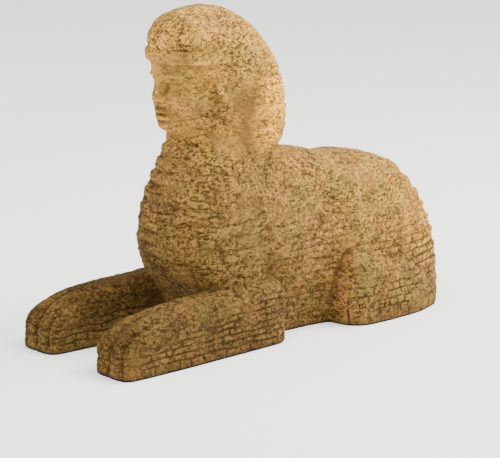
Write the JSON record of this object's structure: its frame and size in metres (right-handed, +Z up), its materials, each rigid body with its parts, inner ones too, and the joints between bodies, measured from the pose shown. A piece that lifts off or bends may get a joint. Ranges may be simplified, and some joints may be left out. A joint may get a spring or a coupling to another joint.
{
  "type": "sphinx statuette",
  "caption": "Lying sphinx statuette: a lion's body, forelegs stretched out in front, and a head in a pleated headcloth, in weathered sandstone look on a felt pad",
  "frame": {"origin": "middle of the bounding box's underside, on the surface that the felt pad stands on", "axes": "+Z up, the face towards -Y, the figure's left side towards +X"},
  "size_m": [0.0636, 0.1714, 0.1207],
  "materials": {
    "stone_filled_resin": "cast stone-filled resin coloured as weathered sandstone, with a brown wash in its joints and pits",
    "black_felt": "pressed black felt"
  },
  "bodies": {
    "root": {"sphinx_casting": "stone_filled_resin", "felt_pad": "black_felt"}
  },
  "joints": []
}
